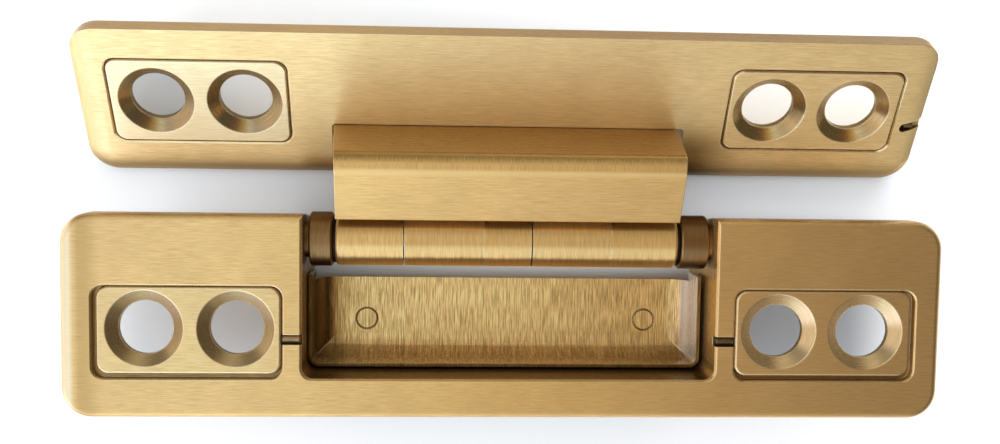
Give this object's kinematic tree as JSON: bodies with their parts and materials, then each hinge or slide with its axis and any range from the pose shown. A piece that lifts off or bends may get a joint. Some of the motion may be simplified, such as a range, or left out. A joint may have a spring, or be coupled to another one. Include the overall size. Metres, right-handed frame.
{
  "type": "concealed hinge",
  "caption": "Concealed gooseneck door hinge: frame leaf with an open pocket, door leaf with inlaid screw plates, and a curved arm that folds into the pocket.",
  "frame": {"origin": "middle of the flat back of the pocket housing, on the surface that the open hinge lies on", "axes": "+X along the pin, +Y across the frame leaf towards the door leaf, +Z out of the frame leaf's face"},
  "size_m": [0.1213, 0.0537, 0.0208],
  "materials": {
    "leaf_brass": "brushed along its length",
    "plate_brass": "brushed, turned countersinks",
    "arm_brass": "brushed",
    "tray_brass": "coarsely brushed",
    "dark_bronze": "dark burnished",
    "sleeve_bronze": "satin",
    "steel": "satin",
    "polymer": "matte"
  },
  "bodies": {
    "frame": {"frame_leaf": "leaf_brass", "pocket_tray": "tray_brass", "tray_rivets": "tray_brass", "frame_screw_plate_left": "plate_brass", "frame_screw_plate_right": "plate_brass", "adjuster_screw_left": "steel", "adjuster_screw_right": "steel", "pivot_rail": "arm_brass", "rail_screws": "steel", "hinge_pin": "steel", "pin_lock_screws": "steel", "end_bush_left": "dark_bronze", "end_bush_right": "dark_bronze", "thrust_washer_left": "polymer", "thrust_washer_right": "polymer"},
    "door": {"door_leaf": "leaf_brass", "door_screw_plate_left": "plate_brass", "door_screw_plate_right": "plate_brass", "door_adjuster_screw": "steel", "gooseneck_arm": "arm_brass", "arm_screws": "steel", "bearing_sleeve_left": "sleeve_bronze", "bearing_sleeve_centre": "sleeve_bronze", "bearing_sleeve_right": "sleeve_bronze"}
  },
  "joints": [
    {"name": "door_swing", "type": "hinge", "parent": "frame", "child": "door", "pos_m": [0, 0.01425, 0.0115], "axis": [1, 0, 0], "range_deg": [0, 147]}
  ]
}
